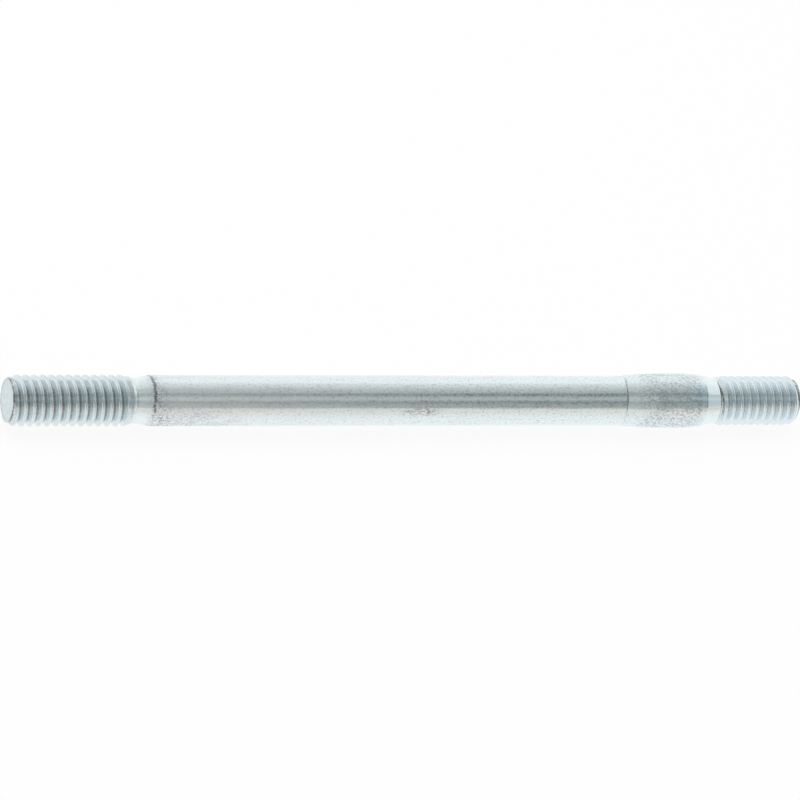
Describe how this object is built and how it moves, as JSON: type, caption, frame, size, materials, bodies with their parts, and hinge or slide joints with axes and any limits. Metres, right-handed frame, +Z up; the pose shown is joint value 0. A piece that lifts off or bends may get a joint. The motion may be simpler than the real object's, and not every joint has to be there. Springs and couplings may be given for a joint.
{
  "type": "stud bolt",
  "caption": "Round steel stud with a rolled thread on both ends, a plain shank, a swelled collar near the shorter thread and a neck beside each thread.",
  "frame": {"origin": "on the stud's axis, at the edge of the collar's stop, where the face of the casting comes", "axes": "+X along the axis into the casting, towards the short thread's end; the long thread points along -X; the axis is level and +Z is up as the stud lies"},
  "size_m": [0.0963, 0.0064, 0.0064],
  "materials": {
    "zinc_plated_steel": "bright zinc plating with a pale blue-white passivate, finely grained, duller on the collar and in the thread roots"
  },
  "bodies": {
    "root": {"stud": "zinc_plated_steel"}
  },
  "joints": []
}
